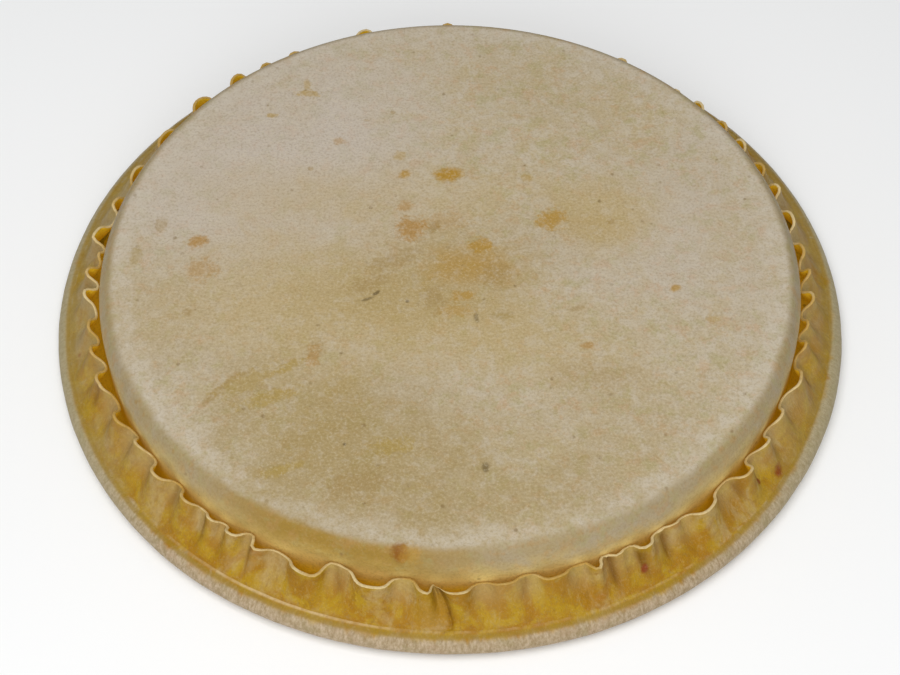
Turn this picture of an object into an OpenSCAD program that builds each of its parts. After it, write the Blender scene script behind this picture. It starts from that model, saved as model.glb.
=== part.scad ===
// Mounted skin head of a hand drum.
// One rawhide skin is stretched over a round former, carried down as a collar, passed under a
// steel hoop, rolled over it and turned back up as a cuff that is trimmed by hand.
// Origin: centre of the circle that the head rests on. +Z points out of the playing face.

/* [Collar] */
// Inside diameter of the collar, where the drum shell goes in
shell_d = 298; // [250:0.5:330]
// Height of the playing face above the resting face
head_h = 39; // [34:0.5:60]
// Diameter of the flat part of the playing face
flat_d = 287.6; // [238:0.1:320]

/* [Skin] */
// Thickness of the dried skin
skin_t = 1.6; // [0.8:0.1:2.4]
// Bend radius at the edge of the playing face
crown_r = 4; // [3:0.5:6]
// Steepness of the shoulder below the crown, in degrees from level
shoulder_lean = 60; // [45:1:75]
// Bend radius where the shoulder runs into the upright collar
shoulder_r = 8; // [4:0.5:14]
// Bend radius where the collar turns out under the hoop
flare_r = 8; // [4:0.5:10]

/* [Hoop] */
// Diameter of the steel rod
rod_d = 8; // [5:0.5:10]
// Diameter of the hoop, measured between the middles of the rod
hoop_d = 331.8; // [326:0.1:344]
// Gap that the skin keeps round the rod
rod_gap = 0.05; // [0.02:0.01:0.1]
// Radius of the weld bead where the ends of the rod meet
weld_r = 2.4; // [1.5:0.1:3]

/* [Cuff] */
// Steepness of the cuff, in degrees from level
cuff_lean = 60; // [45:1:75]
// Bend radius where the cuff rises off the hoop
cuff_r = 6; // [4:0.5:8]
// Straight width of the cuff up to its trimmed edge
cuff_w = 13; // [8:0.1:14]

/* [Hidden] */
$fn = 180;

collar_mid = shell_d / 2 + skin_t / 2;
hoop_r = hoop_d / 2;
rod_r = rod_d / 2;
roll_r = rod_r + rod_gap + skin_t / 2;
hoop_z = skin_t / 2 + roll_r;

// Lengths of the straight stretches that close the section
shoulder_w = (collar_mid - flat_d / 2 - crown_r * sin(shoulder_lean)
              - shoulder_r * (1 - sin(shoulder_lean))) / cos(shoulder_lean);
shoulder_drop = crown_r * (1 - cos(shoulder_lean)) + shoulder_w * sin(shoulder_lean)
                + shoulder_r * cos(shoulder_lean);
collar_h = head_h - skin_t / 2 - shoulder_drop - flare_r - skin_t / 2;
underside_w = hoop_r - collar_mid - flare_r;

// The skin's section, walked from the middle of the playing face to the edge of the cuff.
// ["run", length] goes straight on. ["bend", radius, turn] turns left by a positive turn.
skin_walk = [
    ["run", flat_d / 2],
    ["bend", crown_r, -shoulder_lean],
    ["run", shoulder_w],
    ["bend", shoulder_r, shoulder_lean - 90],
    ["run", collar_h],
    ["bend", flare_r, 90],
    ["run", underside_w],
    ["bend", roll_r, 180],
    ["bend", cuff_r, -cuff_lean],
    ["run", cuff_w]
];
skin_start = [0, head_h - skin_t / 2, 0];
bend_slice = 7.5;

// A pose is [r, z, heading]. The centre of a bend lies square to the heading.
function beside(pose, gap) = [pose[0] - gap * sin(pose[2]), pose[1] + gap * cos(pose[2])];
function after(pose, step) =
    step[0] == "run"
    ? [pose[0] + step[1] * cos(pose[2]), pose[1] + step[1] * sin(pose[2]), pose[2]]
    : let (reach = step[2] > 0 ? step[1] : -step[1],
           centre = beside(pose, reach),
           turned = pose[2] + step[2])
      [centre[0] + reach * sin(turned), centre[1] - reach * cos(turned), turned];
function pose_at(count) =
    count == 0 ? skin_start : after(pose_at(count - 1), skin_walk[count - 1]);

// A bend is followed in even slices of its turn, a straight run in one
function slices(step) = step[0] == "run" ? 1 : ceil(abs(step[2]) / bend_slice);
function share(step, part) =
    step[0] == "run" ? ["run", step[1] * part] : ["bend", step[1], step[2] * part];

// Poses along the middle of the skin's thickness
skin_line = concat(
    [skin_start],
    [for (i = [0 : len(skin_walk) - 1])
        let (step = skin_walk[i], count = slices(step))
            for (j = [1 : count]) after(pose_at(i), share(step, j / count))]
);

// The section's outline: out along the skin's outer side and back along its inner side
module skin_section() {
    last = len(skin_line) - 1;
    polygon(concat(
        [for (i = [0 : last]) beside(skin_line[i], skin_t / 2)],
        [for (i = [last : -1 : 0]) beside(skin_line[i], -skin_t / 2)]
    ));
}

// The whole skin: playing face, shoulder, collar, roll and cuff in one piece
module hide() {
    color([0.84, 0.78, 0.66])
        rotate_extrude()
            skin_section();
}

// The steel hoop inside the roll, with its weld bead on the inner side
module flesh_hoop() {
    color([0.62, 0.63, 0.65])
        union() {
            translate([0, 0, hoop_z])
                rotate_extrude()
                    translate([hoop_r, 0])
                        circle(rod_r);
            translate([0, hoop_r - rod_r + weld_r / 2, hoop_z])
                sphere(weld_r);
        }
}

hide();
flesh_hoop();
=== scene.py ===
import math

import bpy
import numpy as np
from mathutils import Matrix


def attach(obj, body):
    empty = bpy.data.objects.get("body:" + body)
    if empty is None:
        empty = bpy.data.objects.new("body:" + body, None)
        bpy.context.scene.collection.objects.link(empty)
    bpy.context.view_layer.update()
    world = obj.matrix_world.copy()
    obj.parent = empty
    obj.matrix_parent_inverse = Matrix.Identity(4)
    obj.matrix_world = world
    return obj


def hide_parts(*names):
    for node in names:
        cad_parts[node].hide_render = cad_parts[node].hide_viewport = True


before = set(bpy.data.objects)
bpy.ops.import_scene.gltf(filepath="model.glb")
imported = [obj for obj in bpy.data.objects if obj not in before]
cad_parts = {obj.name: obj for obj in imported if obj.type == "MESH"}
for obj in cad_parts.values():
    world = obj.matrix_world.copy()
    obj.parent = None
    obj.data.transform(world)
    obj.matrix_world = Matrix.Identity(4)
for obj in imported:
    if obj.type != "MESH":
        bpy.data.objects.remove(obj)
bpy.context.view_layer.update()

MM = 0.001

# ---------------------------------------------------------------------------------------------
# The skin. One rawhide, mounted wet: playing face, crown, shoulder and collar, then the part
# that passes under the steel hoop, rolls over it and stands up again as a cuff. It dried hard
# in that shape, and the cuff was left in folds and trimmed with a knife.
# ---------------------------------------------------------------------------------------------
SKIN_T = 1.6                  # millimetres, as are all sizes of the skin
FACE_R = 143.8
HEAD_H = 39.0
CROWN_R = 4.0
SHOULDER_R = 8.0
SHOULDER_LEAN = math.radians(60)
COLLAR_R = 149.8
FLARE_R = 8.0
HOOP_R = 165.9
ROLL_R = 4.85

shoulder_w = ((COLLAR_R - FACE_R - CROWN_R * math.sin(SHOULDER_LEAN)
               - SHOULDER_R * (1 - math.sin(SHOULDER_LEAN))) / math.cos(SHOULDER_LEAN))
shoulder_drop = (CROWN_R * (1 - math.cos(SHOULDER_LEAN)) + shoulder_w * math.sin(SHOULDER_LEAN)
                 + SHOULDER_R * math.cos(SHOULDER_LEAN))
collar_h = HEAD_H - SKIN_T - shoulder_drop - FLARE_R

# Each step of the section: length, turn in radians, rows on the outer side, rows kept on the
# inner side.
SECTION = (
    (FACE_R, 0.0, 10, 5),
    (CROWN_R * SHOULDER_LEAN, -SHOULDER_LEAN, 5, 3),
    (shoulder_w, 0.0, 2, 1),
    (SHOULDER_R * (math.pi / 2 - SHOULDER_LEAN), SHOULDER_LEAN - math.pi / 2, 3, 2),
    (collar_h, 0.0, 6, 3),
    (FLARE_R * math.pi / 2, math.pi / 2, 6, 5),
    (HOOP_R - COLLAR_R - FLARE_R, 0.0, 2, 1),
    (ROLL_R * math.pi, math.pi, 18, 16),
)
CUFF_ROWS = 22
CUFF_LAY = 19.0               # how much skin stands in the cuff
CUFF_IN, CUFF_OUT = 151.5, 158.0      # reach of a fold laid on the collar, and of one stood out
LEAN_IN, LEAN_OUT = 122, 92   # degrees the edge of each leans at, 90 being upright
EDGE_T = 1.3                  # the skin dries a little thinner at the trimmed edge
CLEAR = 0.2                   # the least gap between a fold and the collar

# The folds of the cuff, as they dried: angle in degrees, how far out the trimmed edge stands
# and how high. A fold that lies on the collar is followed by one that stands out.
FOLDS = (
    (3, 153, 23), (6, 155.5, 27.5), (9.5, 152, 23), (12.5, 156, 27.5), (17.5, 153, 23),
    (19.5, 156.5, 27.5), (22.5, 153, 23), (25, 156.5, 27), (28, 152.5, 23), (31, 156.5, 28),
    (33.5, 152.5, 22.5), (36, 156.5, 28.3), (39, 152, 22.5), (42, 156.5, 28.3), (44.5, 152, 22),
    (46.8, 155.5, 28), (50, 152, 22), (53, 156, 25), (56, 151.5, 22), (58.3, 157, 28.2),
    (61.5, 152, 22), (64.5, 156, 24.5), (67.5, 151.5, 22), (70.5, 157, 25), (74, 151.5, 22),
    (77, 156, 24.5), (80.5, 151.5, 22.5), (84, 157, 25.5), (87.5, 152, 22.5), (90.5, 157.5, 28.5),
    (93, 151.5, 23), (95, 155.5, 25), (97, 152, 22.5), (99.5, 156, 26), (102, 152, 23.5),
    (105, 158.5, 28.8), (109, 151.5, 23), (112, 154, 25), (115, 152, 23), (118.3, 157, 28.3),
    (121, 152, 23), (124, 157, 28), (126.5, 152, 23), (129.4, 158.2, 29), (133.5, 151.5, 23),
    (137.6, 158.3, 28.6), (142, 152, 22.5), (147.4, 156.5, 28), (151.5, 152, 22.5),
    (156.5, 156, 27), (160, 153.5, 23), (164, 156, 27.5), (166, 153, 23.5), (171.5, 158.5, 27.5),
    (173.2, 153, 24), (174.8, 154.5, 26), (176.2, 153, 24), (179, 157.5, 27.5), (181, 152.5, 23.5),
    (183, 157.5, 27.5), (186.5, 152.5, 23.5), (190, 156, 27.5), (192, 152.5, 23.5),
    (195, 156.5, 27.5), (197.5, 151.6, 23.5), (200.5, 157, 27.5), (205.5, 152, 23),
    (208.8, 156.5, 27.5), (212, 151.5, 23), (214.5, 154.5, 26.5), (217.5, 151.5, 23.5),
    (221, 157, 27.5), (224.5, 151.5, 24), (227.5, 156, 27.5), (230.3, 152.5, 23),
    (232.3, 155.5, 26), (234.3, 152.2, 22.5), (236.5, 157, 27.5), (239.3, 151.5, 25.5),
    (240.7, 157.5, 27), (243.5, 152.5, 23), (250, 160, 28), (253, 151.5, 27.5), (259, 158.5, 27.5),
    (263.5, 151.5, 26), (267, 158.5, 27.5), (268.3, 152, 23.5), (270.8, 158.5, 27.5),
    (274.8, 151.5, 23), (278, 154.5, 26), (281.5, 151.5, 25.5), (284.5, 156, 27),
    (290, 151.5, 24), (291.5, 157, 26.5), (293.2, 151.5, 24), (294.8, 153.5, 25),
    (297.8, 151.5, 23.5), (299, 157, 27), (302.8, 151.5, 23.5), (305, 153, 25), (307.5, 152, 23.5),
    (310, 157.5, 27.5), (316.2, 151.5, 23.5), (320, 158, 27.5), (322.5, 151.5, 22.5),
    (326, 156, 27.5), (328.3, 151.5, 23), (331.5, 154.7, 27.5), (334.5, 151.5, 24),
    (339.4, 156, 27.5), (343.7, 151.3, 23), (346, 154.5, 27.5), (348.5, 151.3, 23),
    (350.3, 154.5, 27), (353, 151.6, 23.5), (355.8, 156.5, 27.5), (359, 152, 23),
    (361.2, 156.3, 27.5),
)

# The slit at the front of the cuff, from the roll up to the edge: its angle at even shares of
# the cuff. The skin left of it lies over the skin right of it.
SLIT = (269.85, 270.1, 269.6, 268.9, 268.2)

# Pleats that run down the cuff: angle at the edge, how many degrees the foot is off it, depth,
# half width in degrees, and the shares of the cuff where the pleat starts and ends.
PLEATS = (
    (293.9, 0.5, 1.9, 0.6, 0.25, 1.0), (298.6, 0.3, 1.9, 0.6, 0.25, 0.8),
    (303.4, -0.6, 1.8, 0.75, 0.3, 0.85), (240.2, -0.4, 1.2, 0.3, 0.6, 1.0),
    (224.3, 0.5, 0.8, 0.5, 0.4, 0.9), (231.6, 0.3, 0.9, 0.4, 0.3, 0.9),
    (253.2, 1.5, 0.6, 0.6, 0.4, 0.9), (281.2, -1.2, 0.7, 0.6, 0.5, 0.9),
    (317.4, 0.8, 0.8, 0.6, 0.35, 0.85), (341.5, 0.5, 0.8, 0.6, 0.3, 0.9),
    (358.2, 0.5, 0.9, 0.4, 0.4, 1.0), (201.6, 0.5, 0.8, 0.5, 0.3, 0.9),
    (22.4, 0.8, 0.9, 0.5, 0.3, 0.9), (66.0, 0.5, 0.9, 0.5, 0.3, 0.9),
    (122.0, 0.5, 0.9, 0.6, 0.3, 0.9), (160.6, 0.5, 0.9, 0.6, 0.3, 0.9),
)

COLUMNS = 780
SLIT_AT = math.radians(269.2)


def spread_columns():
    """Angles of the columns round the skin: even, but gathered near the slit of the cuff. An even
    angle u becomes u - g (u - u0) exp(-(u - u0)^2 / w^2), where u0 is the slit's."""
    u = np.arange(COLUMNS) / COLUMNS * 2 * np.pi
    off = (u - SLIT_AT + np.pi) % (2 * np.pi) - np.pi
    gathered, width = 0.7, math.radians(7)
    return u - gathered * off * np.exp(-(off / width) ** 2)


def ripple(angle, seed, low, high):
    """A smooth even wander round the circle: a sum of sines from low to high waves a turn, with
    seeded phases and weights that fall with the square root of the wave count."""
    rng = np.random.default_rng(seed)
    waves = np.arange(low, high + 1)
    weights = rng.normal(size=waves.size) / np.sqrt(waves)
    phases = rng.uniform(0, 2 * np.pi, waves.size)
    total = np.sin(angle[..., None] * waves + phases) @ weights
    return total / np.abs(total).max()


def walk_section():
    """Middle of the skin's thickness from the centre of the face to the top of the roll. At share
    t of a step with length L, turn a and heading h a run reaches L t (cos h, sin h), and a bend
    (L / a) (sin(h + a t) - sin h, cos h - cos(h + a t))."""
    r, z, lay, keep = [], [], [], []
    here, heading, walked = np.array([0.0, HEAD_H - SKIN_T / 2]), 0.0, 0.0
    for length, turn, rows, inner_rows in SECTION:
        t = np.arange(1, rows + 1) / rows
        if turn:
            k = length / turn
            step = np.stack([k * (np.sin(heading + turn * t) - math.sin(heading)),
                             k * (math.cos(heading) - np.cos(heading + turn * t))])
        else:
            step = length * t * np.array([[math.cos(heading)], [math.sin(heading)]])
        r.append(here[0] + step[0])
        z.append(here[1] + step[1])
        lay.append(walked + length * t)
        kept = np.zeros(rows, bool)
        kept[np.unique(np.linspace(rows - 1, 0, inner_rows, endpoint=inner_rows > 1)
                       .round().astype(int))] = True
        kept[-1] = True
        keep.append(kept)
        here = here + step[:, -1]
        heading += turn
        walked += length
    return np.concatenate(r), np.concatenate(z), np.concatenate(lay), np.concatenate(keep)


def cut_edge(angle):
    """Where the trimmed edge of the cuff stands at each angle. Between two folds reach and height
    go from one to the next by half a cosine wave. Returns reach, height, how far the edge is
    along a wave, and the angle from fold to fold."""
    folds = np.array(FOLDS, float)
    at = np.radians(folds[:, 0])
    after = np.append(at[1:], at[0] + 2 * np.pi)
    turned = (angle - at[0]) % (2 * np.pi) + at[0]
    i = np.searchsorted(at, turned, side="right") - 1
    gap = after[i] - at[i]
    share = (turned - at[i]) / gap
    ease = (1 - np.cos(np.pi * share)) / 2
    nxt = (i + 1) % len(folds)
    reach = folds[i, 1] + (folds[nxt, 1] - folds[i, 1]) * ease
    height = folds[i, 2] + (folds[nxt, 2] - folds[i, 2]) * ease
    return reach, height, share, gap


def drape_cuff(angle):
    """The cuff as a grid of share t by angle. Each column is the cubic curve that leaves the top
    of the roll level and inwards and meets the trimmed edge at the lean of its fold:
    P = h00 P0 + h10 T0 + h01 P1 + h11 T1. The folds' flanks are steepened by turning each point
    by k gap sin(2 pi share) t^2 / 2 pi, and near the slit the columns follow it instead."""
    t = (np.arange(1, CUFF_ROWS + 1) / CUFF_ROWS)[:, None]
    reach, height, share, gap = cut_edge(angle)
    reach = reach + 0.25 * ripple(angle, 5, 60, 160)
    height = height + 0.35 * ripple(angle, 6, 30, 140)
    gather = np.clip((reach - CUFF_IN) / (CUFF_OUT - CUFF_IN), 0, 1.3)
    lean = np.radians(LEAN_IN - (LEAN_IN - LEAN_OUT) * gather)
    roll_top = SKIN_T / 2 + 2 * ROLL_R
    h00, h10 = 2 * t ** 3 - 3 * t ** 2 + 1, t ** 3 - 2 * t ** 2 + t
    h01, h11 = -2 * t ** 3 + 3 * t ** 2, t ** 3 - t ** 2
    start, end = 11.0, 12.0 + 2 * gather      # lengths of the curve's end tangents
    r = h00 * HOOP_R - h10 * start + h01 * reach + h11 * end * np.cos(lean)
    z = h00 * roll_top + h01 * height + h11 * end * np.sin(lean)
    steepen, by_slit = 0.5, math.radians(1.6)
    turn = steepen * gap / (2 * np.pi) * np.sin(2 * np.pi * share) * t ** 2
    off = (angle - SLIT_AT + np.pi) % (2 * np.pi) - np.pi
    follow = np.radians(np.interp(t, np.linspace(0, 1, len(SLIT)), SLIT)) - SLIT_AT
    turn += (follow - turn * (np.abs(off) < 0.1)) * np.exp(-(off / by_slit) ** 2)
    return r, z, angle + turn, gather, t


angle = spread_columns()
wall_r, wall_z, wall_lay, keep_inside = walk_section()
cuff_r, cuff_z, cuff_angle, gather, t_cuff = drape_cuff(angle)

r = np.concatenate([np.repeat(wall_r[:, None], COLUMNS, 1), cuff_r])
z = np.concatenate([np.repeat(wall_z[:, None], COLUMNS, 1), cuff_z])
turned = np.concatenate([np.repeat(angle[None], wall_r.size, 0), cuff_angle])
lay = np.concatenate([wall_lay, wall_lay[-1] + CUFF_LAY * t_cuff[:, 0]])
keep_inside = np.concatenate([keep_inside, np.arange(CUFF_ROWS) % 2 == 1])
on_cuff = np.concatenate([np.zeros(wall_r.size), t_cuff[:, 0]])[:, None]

# The hand-made unevenness: the face is a little wavy, the collar and the roll aren't quite round
x, y = r * np.cos(turned), r * np.sin(turned)
on_face = np.clip((FACE_R + 6 - r) / 20, 0, 1) * (lay[:, None] < FACE_R + 5)
z += on_face * (0.16 * np.sin(x / 31 + 1.3) * np.sin(y / 27 + 0.4)
                + 0.10 * np.sin(x / 13 + y / 17) * np.sin(y / 11 - x / 23 + 2.0))
wander = 0.30 * ripple(angle, 1, 2, 9) + 0.12 * ripple(angle, 2, 10, 60)
roll_end = wall_lay[-1]
on_wall = np.clip((lay[:, None] - FACE_R - 6) / 12, 0, 1)
r += on_wall * (1 - 0.6 * on_cuff) * wander
pucker = ripple(angle, 3, 70, 190)
r += 0.28 * pucker * np.clip((lay[:, None] - roll_end) / 6, 0, 1)

# Pleats push the skin in along a narrow line and up beside it
# The crease mask keeps each pleat's line, where the cuff's colour gets painted shade
crease_shade = np.zeros_like(r)
for top, foot_off, depth, half, low, high in PLEATS:
    line = np.radians(top + foot_off * (1 - on_cuff) ** 0.7)
    off = np.degrees((turned - line + np.pi) % (2 * np.pi) - np.pi)
    along = np.clip((on_cuff - low) / 0.25, 0, 1) * np.clip((high + 0.2 - on_cuff) / 0.2, 0, 1)
    fold_in = along * np.exp(-(off / half) ** 2)
    beside = along * np.exp(-((np.abs(off) - 2.0 * half) / (1.2 * half)) ** 2)
    r -= depth * (0.75 * fold_in - 0.2 * beside)
    z -= depth * (0.45 * fold_in - 0.12 * beside)
    crease_shade = np.maximum(crease_shade, fold_in * min(depth, 1.2) / 1.2)

# At the slit the skin on the left stands proud and the skin on the right drops away, and the
# skin thins between them, where the fold is too tight for its full thickness
off = np.degrees((angle - SLIT_AT + np.pi) % (2 * np.pi) - np.pi)[None]
along = np.clip((on_cuff - 0.02) / 0.5, 0, 1) ** 0.7
STEP_W, LEFT_UP, RIGHT_DOWN = 0.1, 0.35, 1.6      # degrees, millimetres, millimetres
right = 1 / (1 + np.exp(np.clip(-off / STEP_W, -60, 60)))
drop = ((1 - right) * LEFT_UP * np.exp(np.minimum(off, 0) / 1.5)
        - right * RIGHT_DOWN * np.exp(-np.maximum(off, 0) / 0.9)) * along
r += 0.8 * drop
z += 0.5 * drop
# The slit's line joins the crease mask, for painted shade along it
crease_shade = np.maximum(crease_shade, along * np.exp(-((off - 0.3) / (0.25 + 0.45 * on_cuff)) ** 2))
PINCH = 0.92
pinch = 1 - PINCH * np.clip(along * 6, 0, 1) * np.exp(-(off / (0.55 + 0.7 * on_cuff)) ** 2)

# A fold that would reach the collar lies against it instead
half_t = (SKIN_T - (SKIN_T - EDGE_T) * np.clip((lay - roll_end - 6) / 12, 0, 1)) / 2
collar_out = COLLAR_R + SKIN_T / 2 + wander + CLEAR
r = np.where(on_cuff > 0, np.maximum(r, collar_out + half_t[:, None]), r)

middle = np.stack([r * np.cos(turned), r * np.sin(turned), z], -1)
along_turn = np.roll(middle, -1, 1) - np.roll(middle, 1, 1)
along_lay = np.gradient(middle, lay, axis=0)
along_lay /= np.linalg.norm(along_lay, axis=-1, keepdims=True)
normal = np.cross(along_lay, along_turn)
normal /= np.linalg.norm(normal, axis=-1, keepdims=True)

# On the outer side of the roll a shallow groove runs round, with a rubbed ridge just inside it
degrees = np.degrees(angle) % 360
groove_lay = roll_end - 1.8 + (2.6 * np.exp(-(((degrees - 343 + 180) % 360 - 180) / 22) ** 2)
                               + 1.2 * np.exp(-((degrees - 182) / 28) ** 2))
GROOVE_DEEP, GROOVE_W, RIDGE_OFF = 0.4, 0.8, 2.0
ridge_here = np.exp(-((degrees - 247) / 14) ** 2)
ridge = 0.12 + 0.12 * ripple(angle, 8, 2, 9) + 0.4 * ridge_here
relief = (-GROOVE_DEEP * np.exp(-((lay[:, None] - groove_lay) / GROOVE_W) ** 2)
          + ridge * np.exp(-((lay[:, None] - groove_lay - RIDGE_OFF) / GROOVE_W) ** 2)
          + 0.05 * ripple(angle, 9, 40, 200) * (lay[:, None] > 170))
half_t = half_t[:, None] * pinch
grain_side = middle + normal * half_t[..., None]
flesh_side = middle - normal * (half_t + relief)[..., None]

# The knife's cut across the edge, with its corners worn round
ACROSS = np.array([0.93, 0.62, 0.0, -0.62, -0.93])[:, None, None]
PROUD = np.array([0.12, 0.24, 0.3, 0.24, 0.12])[:, None, None]
cut = middle[-1] + ACROSS * half_t[-1][:, None] * normal[-1] + PROUD * along_lay[-1]

inside = np.flatnonzero(keep_inside)[::-1]
rows = np.concatenate([grain_side, cut, flesh_side[inside]])
row_lay = np.concatenate([lay, np.full(len(ACROSS), lay[-1] + 0.4), lay[inside]])
row_flesh = np.concatenate([np.zeros(lay.size), np.full(len(ACROSS), 0.5), np.ones(inside.size)])
row_cut = np.concatenate([np.zeros(lay.size), np.ones(len(ACROSS)), np.zeros(inside.size)])
poles = np.array([[0, 0, grain_side[0, :, 2].mean()], [0, 0, flesh_side[0, :, 2].mean()]])


def close_rings(rows, poles):
    """Faces of a stack of rings with a pole at each end: quads (i, j), (i+1, j), (i+1, j+1),
    (i, j+1), then a fan of triangles from each pole. Rows run outwards on the upper side."""
    count = len(rows)
    i = np.arange(count - 1)[:, None] * COLUMNS
    j = np.arange(COLUMNS)[None]
    k = (j + 1) % COLUMNS
    quads = np.stack([i + j, i + COLUMNS + j, i + COLUMNS + k, i + k], -1).reshape(-1, 4)
    top, bottom = count * COLUMNS, count * COLUMNS + 1
    last = (count - 1) * COLUMNS
    fan_top = np.stack([np.full(COLUMNS, top), j[0], k[0]], -1)
    fan_low = np.stack([np.full(COLUMNS, bottom), last + k[0], last + j[0]], -1)
    points = np.concatenate([rows.reshape(-1, 3), poles])
    return points, quads.tolist() + fan_top.tolist() + fan_low.tolist()


points, faces = close_rings(rows, poles)
skin_mesh = bpy.data.meshes.new("hide_skin")
skin_mesh.from_pydata((points * MM).tolist(), [], faces)
skin_mesh.polygons.foreach_set("use_smooth", np.ones(len(faces), bool))


def note(mesh, name, by_row):
    """Writes one value a vertex: the row's value for a ring, and the end rows' for the poles."""
    values = np.broadcast_to(by_row if by_row.ndim == 2 else by_row[:, None],
                             (len(rows), COLUMNS)).reshape(-1)
    values = np.concatenate([values, values[[0, -1]]]).astype(np.float32)
    mesh.attributes.new(name, "FLOAT", "POINT").data.foreach_set("value", values)


note(skin_mesh, "lay", row_lay)
note(skin_mesh, "flesh", row_flesh)
note(skin_mesh, "cut", row_cut)
note(skin_mesh, "gather", np.repeat(gather[None], len(rows), 0))
note(skin_mesh, "ridge", np.repeat(ridge_here[None], len(rows), 0))
note(skin_mesh, "above", row_lay[:, None] - groove_lay[None])
note(skin_mesh, "crease_shade", np.concatenate([crease_shade, np.repeat(crease_shade[-1:], len(ACROSS), 0),
                                          crease_shade[inside]]))
# The skin's own place: its angle laid out on an even drum, and the lay as height
DRUM_R = 160
spun = np.stack([np.broadcast_to(DRUM_R * np.cos(angle), (len(rows), COLUMNS)),
                 np.broadcast_to(DRUM_R * np.sin(angle), (len(rows), COLUMNS)),
                 np.broadcast_to(row_lay[:, None], (len(rows), COLUMNS))], -1).reshape(-1, 3)
spun = np.concatenate([spun, np.zeros((2, 3))]).astype(np.float32) * MM
spun_note = skin_mesh.attributes.new("spun", "FLOAT_VECTOR", "POINT")
spun_note.data.foreach_set("vector", spun.reshape(-1))
skin_mesh.update()
skin = bpy.data.objects.new("rawhide_skin", skin_mesh)
bpy.context.scene.collection.objects.link(skin)


class Nodes:
    """Shorthand for laying out one material's nodes."""

    def __init__(self, tree):
        self.tree = tree

    def add(self, kind, **values):
        node = self.tree.nodes.new(kind)
        for name, value in values.items():
            setattr(node, name, value)
        return node

    def put(self, socket, value):
        if isinstance(value, bpy.types.NodeSocket):
            self.tree.links.new(value, socket)
        else:
            socket.default_value = value

    def math(self, operation, a, b=0.0, c=0.0, clamp=False):
        node = self.add("ShaderNodeMath", operation=operation, use_clamp=clamp)
        for socket, value in zip(node.inputs, (a, b, c)):
            self.put(socket, value)
        return node.outputs[0]

    def ramp(self, value, low, high, top=1.0):
        """0 below low, top above high, and a smooth step between them."""
        node = self.add("ShaderNodeMapRange", interpolation_type="SMOOTHSTEP", clamp=False)
        for socket, v in zip(node.inputs, (value, low, high, 0.0, top)):
            self.put(socket, v)
        return node.outputs[0]

    def mix(self, share, a, b, blend="MIX"):
        node = self.add("ShaderNodeMix", data_type="RGBA", blend_type=blend)
        self.put(node.inputs[0], share)
        self.put(node.inputs[6], a)
        self.put(node.inputs[7], b)
        return node.outputs[2]

    def noise(self, vector, scale, detail=3.0, rough=0.5, warp=0.0):
        node = self.add("ShaderNodeTexNoise")
        self.put(node.inputs["Vector"], vector)
        for name, value in (("Scale", scale), ("Detail", detail), ("Roughness", rough),
                            ("Distortion", warp)):
            node.inputs[name].default_value = value
        return node.outputs[0]

    def cells(self, vector, scale, spread=1.0):
        node = self.add("ShaderNodeTexVoronoi")
        self.put(node.inputs["Vector"], vector)
        node.inputs["Scale"].default_value = scale
        node.inputs["Randomness"].default_value = spread
        return node.outputs[0]

    def place(self, vector, at=(0, 0, 0), turn=0.0, scale=(1, 1, 1)):
        node = self.add("ShaderNodeMapping", vector_type="TEXTURE")
        self.put(node.inputs["Vector"], vector)
        node.inputs["Location"].default_value = at
        node.inputs["Rotation"].default_value = (0, 0, turn)
        node.inputs["Scale"].default_value = scale
        return node.outputs[0]

    def away(self, vector, centre):
        """How far the vector is from a point."""
        node = self.add("ShaderNodeVectorMath", operation="DISTANCE")
        self.put(node.inputs[0], vector)
        node.inputs[1].default_value = centre
        return node.outputs["Value"]

    def value_of(self, name):
        return self.add("ShaderNodeAttribute", attribute_name=name).outputs["Fac"]


def shade(r, g, b):
    """A colour given as it looks on screen, 0 to 255, turned into light."""
    c = np.array([r, g, b]) / 255
    lin = np.where(c <= 0.04045, c / 12.92, ((c + 0.055) / 1.055) ** 2.4)
    return (*lin.tolist(), 1.0)


rawhide = bpy.data.materials.new("rawhide")
rawhide.use_nodes = True
n = Nodes(rawhide.node_tree)
bsdf = rawhide.node_tree.nodes["Principled BSDF"]
where = n.add("ShaderNodeTexCoord").outputs["Object"]
spun_v = n.add("ShaderNodeAttribute", attribute_name="spun").outputs["Vector"]
lay_v, flesh_v, cut_v, gather_v, crease_shade_v, ridge_v = (
    n.value_of(a) for a in ("lay", "flesh", "cut", "gather", "crease_shade", "ridge"))

# Playing face: bone white with warm and greenish clouds, all broken up finely
broad = n.noise(where, 13, 2, 0.5)
cloud = n.noise(where, 42, 4, 0.62, 0.5)
mottle = n.noise(where, 190, 4, 0.68, 0.3)
grit = n.noise(where, 850, 2, 0.7)
blush = n.noise(n.place(where, (0.3, 0, 0)), 150, 4, 0.7)
green = n.noise(n.place(where, (0, 0.4, 0)), 120, 4, 0.7)
face = n.mix(n.ramp(broad, 0.35, 0.65), shade(187, 174, 153), shade(184, 168, 138))
face = n.mix(n.math("MULTIPLY", n.ramp(cloud, 0.42, 0.68), 0.5), face, shade(178, 158, 112))
face = n.mix(n.math("MULTIPLY", n.ramp(mottle, 0.4, 0.64), 0.55), face, shade(194, 183, 164))
face = n.mix(n.math("MULTIPLY", n.ramp(blush, 0.5, 0.68), 0.5), face, shade(186, 150, 112))
face = n.mix(n.math("MULTIPLY", n.ramp(green, 0.5, 0.68), 0.55), face, shade(166, 156, 108))

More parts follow.
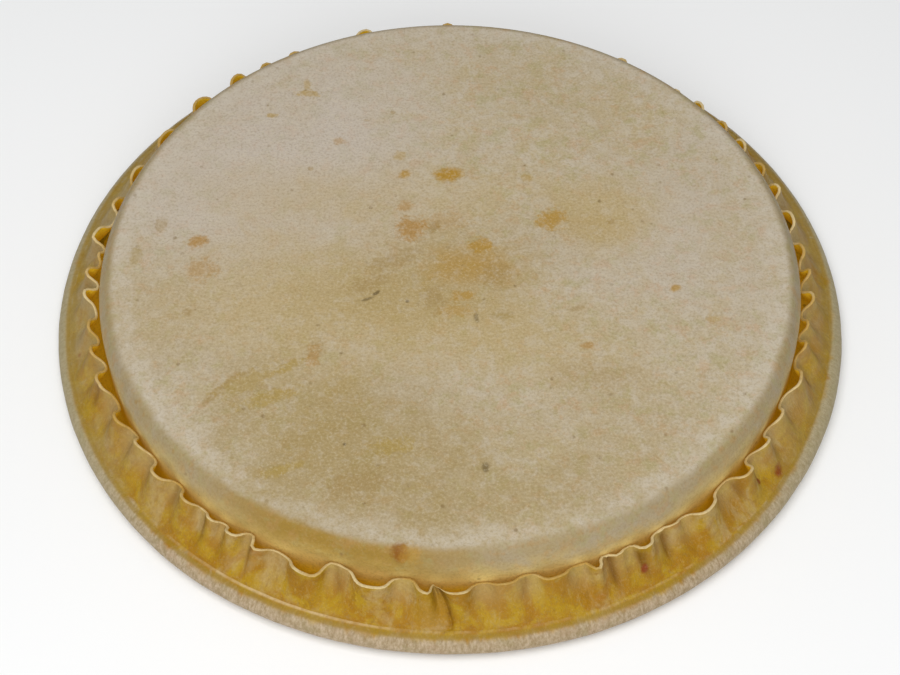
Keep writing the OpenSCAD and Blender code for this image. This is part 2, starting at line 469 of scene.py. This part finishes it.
# Stains: where each lies on the face, its half length and half width, its turn, colour,
# strength, and how ragged its outline is
GOLD, RUST, OCHRE = shade(172, 132, 48), shade(170, 130, 70), shade(174, 146, 90)
BROWN, OLIVE, DARK = shade(154, 126, 74), shade(160, 136, 80), shade(98, 80, 46)
PALE, SAND, TAN = shade(192, 181, 170), shade(166, 140, 72), shade(180, 156, 102)
STAINS = (
    (-80, 62, 75, 60, 30, PALE, 0.6, 0.5), (100, 10, 40, 40, 0, PALE, 0.3, 0.6),
    (40, 104, 40, 20, -30, OLIVE, 0.14, 0.8), (88, 62, 36, 16, -30, OLIVE, 0.1, 0.8),
    (-122, -35, 22, 34, 5, OLIVE, 0.3, 0.8), (-36, -104, 46, 32, 5, OLIVE, 0.75, 0.9),
    (-60, -78, 36, 16, 20, OLIVE, 0.5, 0.9), (60, -95, 40, 20, 30, OLIVE, 0.25, 0.9),
    (-82, -64, 22, 11, 30, OLIVE, 0.55, 0.9),
    (-50, -22, 62, 31, 0, TAN, 0.7, 0.8), (15, -40, 50, 20, -10, TAN, 0.5, 0.9),
    (68, 26, 20, 16, 0, TAN, 0.7, 0.9), (-5, 34, 40, 16, 0, TAN, 0.4, 1.0),
    (-70, 36, 32, 22, 0, TAN, 0.35, 1.0), (28, -128, 52, 21, 10, OLIVE, 0.45, 1.0),
    (-72, -126, 24, 9.6, -30, OLIVE, 0.5, 1.0),
    (-5, -8, 44, 24, 20, OLIVE, 0.4, 1.0), (61, -62, 16, 10, 0, BROWN, 0.3, 1.0),
    (-0.5, 49.3, 6.2, 3.6, 5, GOLD, 1.0, 0.5), (-20, 49.5, 2.4, 2.7, 0, GOLD, 0.8, 0.6),
    (-22.5, 61, 2.6, 2.2, 0, OCHRE, 0.6, 0.8), (34, 47.5, 2.4, 2.5, 0, OCHRE, 0.8, 0.6),
    (44, 23, 6.2, 5.2, 30, GOLD, 0.85, 0.8), (70, 21.5, 1.5, 1.5, 0, BROWN, 0.6, 0.4),
    (60, 19, 14, 3.5, 0, OCHRE, 0.3, 1.0), (-109, 10, 4.4, 3.2, 25, RUST, 0.9, 0.7),
    (-105.5, -6, 5.6, 5.4, 0, RUST, 0.5, 1.2), (-31, -18.5, 1.9, 0.8, 40, DARK, 0.8, 0.6),
    (-34.8, -21.8, 2.3, 0.8, 25, DARK, 0.6, 0.8), (11, -32, 1.2, 2.6, 0, DARK, 0.55, 0.8),
    (22, -30.5, 4.5, 2.4, 0, OLIVE, 0.7, 0.8), (95.5, -16, 2.8, 1.7, 30, GOLD, 0.75, 0.5),
    (110, -33, 2.6, 2.2, 0, OCHRE, 0.6, 0.8), (57.5, -46.5, 3.2, 1.8, 10, RUST, 0.7, 0.6),
    (54, -26.5, 3.4, 1.5, 20, BROWN, 0.45, 0.8), (14, -107.5, 1.5, 2.0, 0, DARK, 0.7, 0.5),
    (-65, 100, 4.8, 3.2, 0, OCHRE, 0.8, 1.0), (-66, 106, 1.6, 3.4, 0, OCHRE, 0.6, 0.8),
    (-81, 86, 2.6, 1.9, 0, OCHRE, 0.8, 0.8), (-50, 70, 2.4, 1.8, 0, RUST, 0.5, 0.7),
    (-62, 53, 1.3, 1.0, 0, BROWN, 0.5, 0.5), (-26, 88, 1.2, 1.0, 0, BROWN, 0.5, 0.5),
    (-38, 83, 1.5, 1.0, 0, BROWN, 0.4, 0.5), (-19.5, 31, 3.0, 2.6, 0, RUST, 0.65, 0.8),
    (-17, 17.5, 6.0, 5.2, 0, RUST, 0.9, 1.0), (-7, 18.5, 2.0, 3.6, -30, BROWN, 0.8, 0.9),
    (-2, 21.5, 9, 5, 0, RUST, 0.3, 1.3), (13, 8, 5.4, 3.6, 10, GOLD, 0.8, 1.0),
    (8.5, -4.5, 16, 7.5, 0, GOLD, 0.65, 1.3), (5.5, -20, 5.0, 2.8, 0, GOLD, 0.7, 0.9),
    (2, -28, 6.5, 3.2, 0, GOLD, 0.45, 1.1), (-24, 0, 12, 5, 25, BROWN, 0.4, 1.2),
    (-34, -13, 9, 4, 25, BROWN, 0.4, 1.2), (-7, -22, 4.5, 6.5, 0, BROWN, 0.45, 1.2),
    (19.5, -8.5, 6.5, 5.5, 0, BROWN, 0.4, 1.2), (-18, -23, 0.9, 0.9, 0, DARK, 0.8, 0.2),
    (-126, 20, 3.5, 2.8, 0, BROWN, 0.45, 0.9), (-135, 2, 2.6, 6, 0, OLIVE, 0.6, 0.9),
    (-110, -29, 2.0, 1.7, 0, BROWN, 0.5, 0.6), (-55, -49, 3.5, 6.5, 0, BROWN, 0.35, 1.1),
    (-95, -71, 8.5, 0.8, 50, BROWN, 0.65, 0.3), (-85, -61.5, 5.0, 0.8, 25, BROWN, 0.5, 0.4),
    (-66, -57.5, 7, 2.2, 30, SAND, 0.75, 0.9), (-73, -73, 11, 3.6, 20, SAND, 0.75, 1.0),
    (-56.5, -52, 2.6, 4.6, 0, RUST, 0.55, 1.2), (-66, -108.5, 8, 2.2, 20, SAND, 0.75, 0.9),
    (-22.5, -97, 8, 4, 0, SAND, 0.7, 1.2), (-37, -115, 12, 6, 10, BROWN, 0.4, 1.2),
    (-42, -96.5, 0.8, 0.8, 0, DARK, 0.9, 0.2), (-84, -66, 14, 4, 30, SAND, 0.45, 1.0),
)
ragged = n.math("SUBTRACT", n.noise(where, 330, 3, 0.7), 0.5)
drift = n.math("SUBTRACT", cloud, 0.5)
WIDE = 15                     # a stain longer than this to each side is a cloud
# Spots are balls in a space squeezed across their length, and spots of one turn and squeeze
# share it
spaces = {}


def blot(colour, spots, height, tall):
    """Lays spots over a colour. Each is an ellipsoid, found as a ball in a space that has been
    turned and squeezed, and its edge is moved in and out by a noise: a fine one for small spots,
    a broad one for the clouds."""
    for sx, sy, long, short, turn, tint, strength, rag in spots:
        squeeze = round(short / long, 1) if turn else round(short / long * 2, 0) / 2 or 0.5
        squeeze = min(max(squeeze, 0.2), 2.0)
        key = (turn, squeeze, tall)
        if key not in spaces:
            spaces[key] = n.place(where, (0, 0, 0), math.radians(turn), (1, squeeze, tall))
        c, d = math.cos(math.radians(turn)), math.sin(math.radians(turn))
        centre = ((sx * c + sy * d) * MM, (sy * c - sx * d) * MM / squeeze, height * MM / tall)
        size = long * MM
        uneven, sway, soft = (drift, 2.2, 0.8) if long > WIDE else (ragged, 2.8, 0.45)
        edge = n.math("MULTIPLY_ADD", uneven, sway * rag * size, n.away(spaces[key], centre))
        mask = n.ramp(edge, (1 + soft) * size, (1 - soft) * size, top=strength)
        colour = n.mix(mask, colour, tint)
    return colour


face = blot(face, STAINS, HEAD_H - 1, 2)
face = n.mix(n.ramp(mottle, 0.5, 0.68, top=0.32), face, shade(192, 179, 156))

# Follicles: fine rows of dark dashes, on the left of the face
dash_space = n.place(where, (0, 0, 0), math.radians(28), (1.0, 0.5, 1.0))
dash = n.ramp(n.cells(dash_space, 560, 0.6), 0.26, 0.1)
to_left = n.away(where, (-0.09, 0.055, 0.038))
left = n.ramp(n.math("MULTIPLY_ADD", drift, 0.06, to_left), 0.075, 0.03)
dash_on = n.math("MULTIPLY", dash, left)
face = n.mix(n.math("MULTIPLY", dash_on, 0.75), face, shade(134, 118, 90))
rim = n.math("MULTIPLY", n.ramp(lay_v, 132, 140), 0.45)
face = n.mix(n.math("MULTIPLY", rim, n.ramp(mottle, 0.2, 0.7)), face, shade(200, 190, 172))

# Collar: yellow from the crown down, amber towards its foot and inside the fold, where painted
# light brightens it
collar_streak = n.noise(n.place(spun_v, (0, 0, 0), 0, (1, 1, 3)), 130, 4, 0.6)
collar = n.mix(n.ramp(cloud, 0.38, 0.62), shade(160, 145, 118), shade(160, 141, 102))
collar = n.mix(n.math("MULTIPLY", n.ramp(collar_streak, 0.45, 0.7), 0.5), collar,
               shade(152, 134, 94))
to_amber = n.away(where, (-0.045, -0.144, 0.03))
collar = n.mix(n.ramp(to_amber, 0.075, 0.02, top=0.95), collar, shade(150, 118, 40))
collar = n.mix(n.ramp(blush, 0.48, 0.68, top=0.5), collar, shade(166, 128, 74))
collar = n.mix(n.ramp(green, 0.48, 0.68, top=0.45), collar, shade(154, 146, 96))
wobble = n.math("MULTIPLY", n.math("SUBTRACT", cloud, 0.5), 10)
low = n.math("ADD", lay_v, wobble)
# Painted light: the collar's foot is made paler where the gap by the cuff would shade it
collar = n.mix(n.ramp(low, 149, 163, top=0.85), collar, shade(228, 198, 120))
# Partly the skin's own amber, partly painted light: inside the fold a bright amber, lighter than
# the cuff's own, stands in for light coming through the skin
AMBER_WITH_PAINTED_LIGHT = shade(238, 200, 48)
past_crown = n.ramp(n.math("ADD", lay_v, n.math("MULTIPLY", wobble, 0.3)), 143, 146.5)
grain = n.mix(past_crown, face, collar)
grain = n.mix(n.ramp(low, 163, 170), grain, AMBER_WITH_PAINTED_LIGHT)
BURNT = shade(130, 80, 4)
COLLAR_MARKS = (
    (-19.1, -146, 3.4, 3.4, 0, BURNT, 1.0, 0.6), (-15.5, -147, 4, 4, 0, GOLD, 0.5, 0.9),
    (-77.2, -124.2, 1.3, 2.6, -30, BROWN, 0.9, 0.6), (-111, -99, 0.9, 2.6, -40, BROWN, 0.8, 0.5),
    (-126.7, -73.9, 0.9, 3.2, -60, BROWN, 0.8, 0.5),
    (-124.2, -81, 0.8, 2.6, -50, BROWN, 0.6, 0.5),
)
grain = blot(grain, COLLAR_MARKS, 37, 1)

# Small dark pits, one every centimetre or so
pit = n.ramp(n.cells(where, 105), 0.13, 0.05, top=0.6)
grain = n.mix(n.math("MULTIPLY", pit, n.ramp(green, 0.4, 0.6)), grain, shade(118, 92, 50))

# Flesh side: brownish and fibrous below, whitish on the roll, amber on the cuff
fibre = n.noise(n.place(where, (0, 0, 0), 0.7, (1, 0.35, 1)), 260, 4, 0.65)
below = n.mix(n.ramp(fibre, 0.35, 0.7), shade(186, 164, 120), shade(208, 192, 158))
below = n.mix(n.math("MULTIPLY", n.ramp(cloud, 0.5, 0.75), 0.6), below, shade(178, 142, 82))
hair = n.noise(n.place(spun_v, (0, 0, 0), 0, (1, 1, 2.2)), 800, 3, 0.75)
roll = n.mix(n.ramp(hair, 0.3, 0.7), shade(150, 129, 94), shade(188, 168, 140))
roll = n.mix(n.math("MULTIPLY", n.ramp(green, 0.5, 0.7), 0.5), roll, shade(146, 132, 88))
roll = n.mix(n.math("MULTIPLY", n.ramp(blush, 0.5, 0.7), 0.4), roll, shade(172, 142, 114))
sideways = n.add("ShaderNodeSeparateXYZ")
n.put(sideways.inputs[0], where)
aside = n.ramp(n.math("ABSOLUTE", sideways.outputs[0]), 0.10, 0.17)
on_left = n.ramp(sideways.outputs[0], -0.10, -0.16)
roll = n.mix(n.math("MULTIPLY", aside, 0.6), roll, shade(160, 152, 114))

s_up = n.value_of("above")      # how much skin lies between here and the groove
streak = n.noise(n.place(spun_v, (0, 0, 0), 0, (1, 1, 2.5)), 120, 4, 0.65, 0.5)
patch = n.noise(spun_v, 42, 4, 0.6, 0.4)
ambers = n.noise(spun_v, 90, 3, 0.62, 0.6)
cuff = n.mix(n.ramp(ambers, 0.4, 0.64), shade(156, 110, 0), shade(170, 134, 14))
dry = n.math("MULTIPLY", n.ramp(streak, 0.46, 0.62), n.ramp(patch, 0.42, 0.58))
cuff = n.mix(n.math("MULTIPLY", dry, 0.6), cuff, shade(176, 152, 104))
curdle = n.noise(n.place(spun_v, (0, 0.3, 0), 0, (1, 1, 1.5)), 330, 4, 0.7, 0.4)
cuff = n.mix(n.ramp(curdle, 0.54, 0.7, top=0.4), cuff, shade(174, 148, 84))
cuff = n.mix(n.ramp(curdle, 0.46, 0.34, top=0.5), cuff, shade(140, 98, 4))
at_top = n.math("MULTIPLY", n.ramp(s_up, 9, 18), n.ramp(gather_v, 0.75, 0.1))
cuff = n.mix(n.math("MULTIPLY", at_top, 0.5), cuff, shade(172, 150, 102))
rust_patch = n.ramp(n.noise(n.place(spun_v, (0.2, 0, 0)), 60, 4, 0.6), 0.58, 0.72)
cuff = n.mix(n.math("MULTIPLY", rust_patch, 0.5), cuff, shade(154, 98, 12))
worn = n.math("MULTIPLY_ADD", on_left, 0.25, n.math("MULTIPLY", aside, 0.45))
cuff = n.mix(n.math("MULTIPLY", worn, n.ramp(patch, 0.3, 0.6)), cuff, shade(162, 146, 104))
from_band = n.math("ABSOLUTE", n.math("SUBTRACT", s_up, 3.0))
low_band = n.math("MULTIPLY", n.ramp(from_band, 4.0, 1.0), aside)
cuff = n.mix(n.math("MULTIPLY", low_band, 0.5), cuff, shade(148, 120, 26))
cuff = n.mix(n.math("MULTIPLY", n.ramp(grit, 0.56, 0.7), 0.12), cuff, shade(178, 154, 104))
# Painted shade: the cuff's colour is darkened along the pleats and the slit, where shade falls in
# the creases
cuff = n.mix(n.math("MULTIPLY", crease_shade_v, 0.9), cuff, shade(108, 70, 2))

# A pale rubbed ridge stands just above a greenish groove, and the roll's white runs up to it
ragged_up = n.math("MULTIPLY", n.math("SUBTRACT", streak, 0.5), 9)
ridge_on = n.ramp(n.math("ABSOLUTE", n.math("SUBTRACT", s_up, RIDGE_OFF)), 1.2, 0.3)
rubbed = n.math("MULTIPLY_ADD", ridge_v, 0.6, n.ramp(streak, 0.4, 0.7, top=0.3))
ridge_strong = n.math("SUBTRACT", rubbed, n.math("MULTIPLY", aside, 0.5), clamp=True)
cuff = n.mix(n.math("MULTIPLY", ridge_on, ridge_strong), cuff, shade(206, 180, 132))
from_groove = n.math("ABSOLUTE", n.math("SUBTRACT", s_up, n.math("MULTIPLY", ragged_up, 0.2)))
groove_on = n.ramp(from_groove, 1.5, 0.3)
flesh = n.mix(n.ramp(lay_v, 178, 184), below, roll)
flesh = n.mix(n.ramp(n.math("ADD", s_up, ragged_up), -2.2, 1.0), flesh, cuff)
flesh = n.mix(n.math("MULTIPLY", groove_on, 0.65), flesh, shade(146, 116, 22))
RED = shade(126, 54, 0)
flesh = blot(flesh, ((-8, -160, 8, 8, 0, shade(160, 118, 6), 0.75, 0.9),), 17, 1)
CUFF_MARKS = (
    (-116.5, -116, 1.2, 2.0, -20, RED, 1.0, 0.3), (135, -92.3, 1.9, 3.4, -20, RED, 1.0, 0.3),
    (76.5, -140, 1.5, 1.2, 30, RED, 1.0, 0.3), (125.5, -98.5, 1.1, 1.1, 0, RED, 0.9, 0.2),
    (-159, -32.5, 1.3, 1.3, 0, RED, 0.9, 0.3), (-154, -72, 1.2, 1.0, 0, RED, 0.9, 0.3),
    (-163.5, -5, 0.8, 0.8, 0, RED, 0.8, 0.3), (-164, 17, 1.0, 2.0, 0, RED, 0.7, 0.4),
    (-157.5, 24, 1.0, 1.6, 0, RED, 0.7, 0.4), (162, 24.5, 1.2, 1.2, 0, RED, 0.7, 0.4),
    (148.5, 63, 1.2, 1.2, 0, RED, 0.7, 0.4), (138, 80, 1.2, 1.2, 0, RED, 0.7, 0.4),
    (3.3, -165, 0.6, 0.6, 0, RED, 0.9, 0.2),
)
flesh = blot(flesh, CUFF_MARKS, 16, 2)

skin_colour = n.mix(flesh_v, grain, flesh)

# The knife's cut is paler. Fine dark dirt lies over all of it, and pale dust mostly on the face
trimmed = n.mix(n.ramp(patch, 0.4, 0.58), shade(180, 146, 78), shade(204, 184, 138))
skin_colour = n.mix(cut_v, skin_colour, trimmed)
skin_colour = n.mix(n.ramp(grit, 0.48, 0.68, top=0.25), skin_colour, shade(128, 104, 56))
dusty = n.math("SUBTRACT", 1.0, n.ramp(lay_v, 134, 146, top=0.75))
skin_colour = n.mix(n.math("MULTIPLY", n.ramp(grit, 0.48, 0.3, top=0.3), dusty), skin_colour,
                    shade(206, 192, 162))
n.put(bsdf.inputs["Base Color"], skin_colour)

# Painted glow: an amber emission stands in for the light that comes through the thin skin into the
# gap between collar and cuff
painted_glow = n.math("MULTIPLY", n.ramp(lay_v, 146, 172), n.math("SUBTRACT", 1.0, flesh_v))
n.put(bsdf.inputs["Emission Color"], n.mix(painted_glow, (0, 0, 0, 1), shade(214, 166, 16)))
bsdf.inputs["Emission Strength"].default_value = 0.085

# A dry, slightly waxy surface: its sheen is uneven, and fibres and grit raise it a little
wear = n.math("MULTIPLY", n.ramp(n.noise(where, 160, 3, 0.6), 0.3, 0.7), 0.16)
n.put(bsdf.inputs["Roughness"], n.math("ADD", 0.5, wear))
bsdf.inputs["Specular IOR Level"].default_value = 0.22
bump = n.add("ShaderNodeBump")
bump.inputs["Distance"].default_value = 0.0004
bump.inputs["Strength"].default_value = 0.7
lumps = n.math("ADD", n.math("MULTIPLY", mottle, 1.2), n.math("MULTIPLY", grit, 0.5))
lumps = n.math("ADD", lumps, n.math("MULTIPLY", hair, n.math("MULTIPLY", flesh_v, 1.2)))
lumps = n.math("SUBTRACT", lumps, n.math("MULTIPLY", dash_on, 0.5))
n.put(bump.inputs["Height"], lumps)
n.put(bsdf.inputs["Normal"], bump.outputs[0])
skin_mesh.materials.append(rawhide)

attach(skin, "root")
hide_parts("hide")

# ---------------------------------------------------------------------------------------------
# The flesh hoop. A ring of round steel rod with its ends butt welded, laid on the wet skin and
# rolled in. It dried in place and can only be seen from inside the fold.
# ---------------------------------------------------------------------------------------------
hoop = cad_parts["flesh_hoop"]
steel = bpy.data.materials.new("hoop_steel")
steel.use_nodes = True
h = Nodes(steel.node_tree)
steel_bsdf = steel.node_tree.nodes["Principled BSDF"]
at = h.add("ShaderNodeTexCoord").outputs["Object"]
drawn = h.noise(at, 700, 3, 0.6)
rusting = h.ramp(h.noise(at, 60, 5, 0.65, 0.6), 0.58, 0.7)
bright = h.mix(drawn, shade(150, 152, 156), shade(178, 180, 182))
h.put(steel_bsdf.inputs["Base Color"], h.mix(rusting, bright, shade(112, 70, 40)))
h.put(steel_bsdf.inputs["Metallic"], h.math("SUBTRACT", 1.0, h.math("MULTIPLY", rusting, 0.8)))
h.put(steel_bsdf.inputs["Roughness"], h.math("ADD", 0.32, h.math("MULTIPLY", rusting, 0.4)))
steel_bump = h.add("ShaderNodeBump")
steel_bump.inputs["Distance"].default_value = 0.0002
steel_bump.inputs["Strength"].default_value = 0.33
h.put(steel_bump.inputs["Height"], drawn)
h.put(steel_bsdf.inputs["Normal"], steel_bump.outputs[0])
hoop.data.materials.clear()
hoop.data.materials.append(steel)

# ---------------------------------------------------------------------------------------------
# The stand for looking at it: a pale floor, a broad soft light overhead and a little in front, a
# weaker one lower in front, and a camera that looks down at the front of the head.
# ---------------------------------------------------------------------------------------------
FLOOR_HALF, FLOOR_Z = 3.0, -0.0004
floor_mesh = bpy.data.meshes.new("floor")
floor_mesh.from_pydata([(-FLOOR_HALF, -FLOOR_HALF, FLOOR_Z), (FLOOR_HALF, -FLOOR_HALF, FLOOR_Z),
                        (FLOOR_HALF, FLOOR_HALF, FLOOR_Z), (-FLOOR_HALF, FLOOR_HALF, FLOOR_Z)],
                       [], [(0, 1, 2, 3)])
floor = bpy.data.objects.new("floor", floor_mesh)
bpy.context.scene.collection.objects.link(floor)
floor_paint = bpy.data.materials.new("floor_paint")
floor_paint.use_nodes = True
f = Nodes(floor_paint.node_tree)
floor_bsdf = floor_paint.node_tree.nodes["Principled BSDF"]
tint = f.noise(f.add("ShaderNodeTexCoord").outputs["Object"], 3, 2)
f.put(floor_bsdf.inputs["Base Color"], f.mix(tint, shade(247, 247, 246), shade(250, 250, 249)))
floor_bsdf.inputs["Roughness"].default_value = 0.9
floor_mesh.materials.append(floor_paint)

world = bpy.data.worlds.new("studio")
world.use_nodes = True
world.node_tree.nodes["Background"].inputs["Color"].default_value = (0.95, 0.97, 1.0, 1.0)
world.node_tree.nodes["Background"].inputs["Strength"].default_value = 0.33
bpy.context.scene.world = world


def soft_light(name, place, size, watts):
    """A square area light at place that faces the middle of the head."""
    lamp = bpy.data.lights.new(name, "AREA")
    lamp.size = size
    lamp.energy = watts
    holder = bpy.data.objects.new(name, lamp)
    holder.location = place
    holder.rotation_mode = "QUATERNION"
    to_head = -holder.location
    holder.rotation_quaternion = to_head.to_track_quat("-Z", "Y")
    bpy.context.scene.collection.objects.link(holder)
    return holder


soft_light("key_light", (-0.15, -0.5, 1.5), 1.3, 17)
soft_light("front_light", (0.0, -1.5, 0.9), 0.8, 8)

CAMERA_RISE = math.radians(51.28)
CAMERA_AWAY = 0.887
camera_data = bpy.data.cameras.new("camera")
camera_data.sensor_width = 36.0
camera_data.lens = 80.0
camera_data.clip_end = 20.0
camera = bpy.data.objects.new("camera", camera_data)
camera.location = (0.0, -CAMERA_AWAY * math.cos(CAMERA_RISE), CAMERA_AWAY * math.sin(CAMERA_RISE))
camera.rotation_euler = (math.pi / 2 - CAMERA_RISE, 0.0, 0.0)
camera_data.shift_y = -0.0233
bpy.context.scene.collection.objects.link(camera)
bpy.context.scene.camera = camera
bpy.context.scene.view_settings.view_transform = "Standard"
